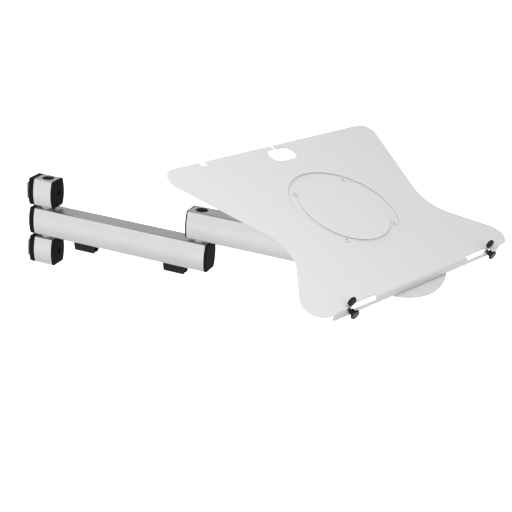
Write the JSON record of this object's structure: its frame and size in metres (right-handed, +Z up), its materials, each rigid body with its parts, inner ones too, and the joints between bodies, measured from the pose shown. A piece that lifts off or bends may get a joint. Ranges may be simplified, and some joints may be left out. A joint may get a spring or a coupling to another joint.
{
  "type": "laptop arm mount",
  "caption": "Rail-mounted laptop arm: twin shoulder blocks, stacked barrel-section arms, swivel and tilt head, waisted sheet tray with sliding stops and a swing-out round platform.",
  "frame": {"origin": "middle of the lower rail plate's back face, where the arm meets the rail", "axes": "+Z up, +X away from the wall along the straightened arms, +Y to the left of someone who stands at the wall and looks along the arms"},
  "size_m": [0.685, 0.4779, 0.2279],
  "materials": {
    "arm_silver": "satin silver anodised extrusion",
    "cap_black": "moulded black, fine grain",
    "clip_black": "moulded black",
    "bright_steel": "bright zinc-plated steel",
    "screw_steel": "blackened steel",
    "bush_white": "natural bearing plastic",
    "head_grey": "silver-grey powder coat",
    "tray_white": "pale silver powder coat, satin",
    "stem_grey": "silver-grey powder coat",
    "rubber_black": "matt black rubber",
    "knob_black": "moulded black, low sheen"
  },
  "bodies": {
    "mount": {"lower_block": "arm_silver", "lower_block_back_cap": "cap_black", "lower_block_front_cap": "cap_black", "lower_lock_screw": "screw_steel", "lower_rail_plate": "bright_steel", "upper_block": "arm_silver", "upper_block_back_cap": "cap_black", "upper_block_front_cap": "cap_black", "upper_lock_screw": "screw_steel", "upper_rail_plate": "bright_steel", "shoulder_pin": "bright_steel", "shoulder_nut": "bright_steel", "shoulder_top_plug": "cap_black", "shoulder_bottom_plug": "cap_black", "lower_shoulder_washer": "bush_white", "upper_shoulder_washer": "bush_white"},
    "lower_arm": {"lower_arm": "arm_silver", "lower_arm_rear_cap": "cap_black", "lower_arm_front_cap": "cap_black", "shoulder_sleeve": "bush_white", "rear_cable_clip": "clip_black", "front_cable_clip": "clip_black", "elbow_pin": "bright_steel", "elbow_nut": "bright_steel", "elbow_bottom_plug": "cap_black", "elbow_washer": "bush_white"},
    "upper_arm": {"upper_arm": "arm_silver", "upper_arm_rear_cap": "cap_black", "upper_arm_front_cap": "cap_black", "elbow_sleeve": "bush_white", "elbow_top_plug": "cap_black", "head_pin": "bright_steel", "head_nut": "bright_steel", "head_bottom_plug": "cap_black", "head_washer": "cap_black"},
    "head": {"head_yoke": "head_grey", "tilt_axle": "bright_steel", "tilt_nut": "bright_steel", "left_friction_washer": "cap_black", "right_friction_washer": "cap_black"},
    "tray": {"tilt_bracket": "head_grey", "tray": "tray_white", "tray_screw_1": "tray_white", "tray_screw_2": "tray_white", "tray_screw_3": "tray_white", "tray_screw_4": "tray_white", "platform_post": "bright_steel", "platform_nut": "bright_steel"},
    "platform": {"swing_bar": "head_grey", "mouse_platform": "tray_white", "platform_rivet_1": "bright_steel", "platform_rivet_2": "bright_steel"},
    "left_stop": {"left_stop_stem": "stem_grey", "left_stop_pad": "rubber_black"},
    "right_stop": {"right_stop_stem": "stem_grey", "right_stop_pad": "rubber_black"},
    "left_knob": {"left_thumb_knob": "knob_black"},
    "right_knob": {"right_thumb_knob": "knob_black"}
  },
  "joints": [
    {"name": "shoulder", "type": "hinge", "parent": "mount", "child": "lower_arm", "pos_m": [0.029, 0, 0.0458], "axis": [0, 0, 1], "range_deg": [-90, 90]},
    {"name": "elbow", "type": "hinge", "parent": "lower_arm", "child": "upper_arm", "pos_m": [0.279, 0, 0.0916], "axis": [0, 0, 1], "range_deg": [-120, 120]},
    {"name": "head_swivel", "type": "hinge", "parent": "upper_arm", "child": "head", "pos_m": [0.4843, 0, 0.11265], "axis": [0, 0, 1], "range_deg": [-67.47, 112.53]},
    {"name": "tray_tilt", "type": "hinge", "parent": "head", "child": "tray", "pos_m": [0.47685, 0.00309, 0.1345], "axis": [0.3832, 0.9237, 0], "range_deg": [-19.64, 5.36]},
    {"name": "platform_swing", "type": "hinge", "parent": "tray", "child": "platform", "pos_m": [0.58171, 0.08734, 0.13694], "axis": [0.3105, -0.1288, 0.9418], "range_deg": [0, 180]},
    {"name": "left_stop_slide", "type": "slide", "parent": "tray", "child": "left_stop", "axis": [0.3832, 0.9237, 0], "range_m": [-0.0022, 0.0448]},
    {"name": "right_stop_slide", "type": "slide", "parent": "tray", "child": "right_stop", "axis": [-0.3832, -0.9237, 0], "range_m": [-0.0003, 0.0468]},
    {"name": "left_knob_turn", "type": "hinge", "parent": "left_stop", "child": "left_knob", "pos_m": [0.55551, -0.18869, 0.10369], "axis": [0.8699, -0.3609, -0.3361], "continuous": true},
    {"name": "right_knob_turn", "type": "hinge", "parent": "right_stop", "child": "right_knob", "pos_m": [0.66893, 0.08472, 0.10369], "axis": [0.8699, -0.3609, -0.3361], "continuous": true}
  ]
}
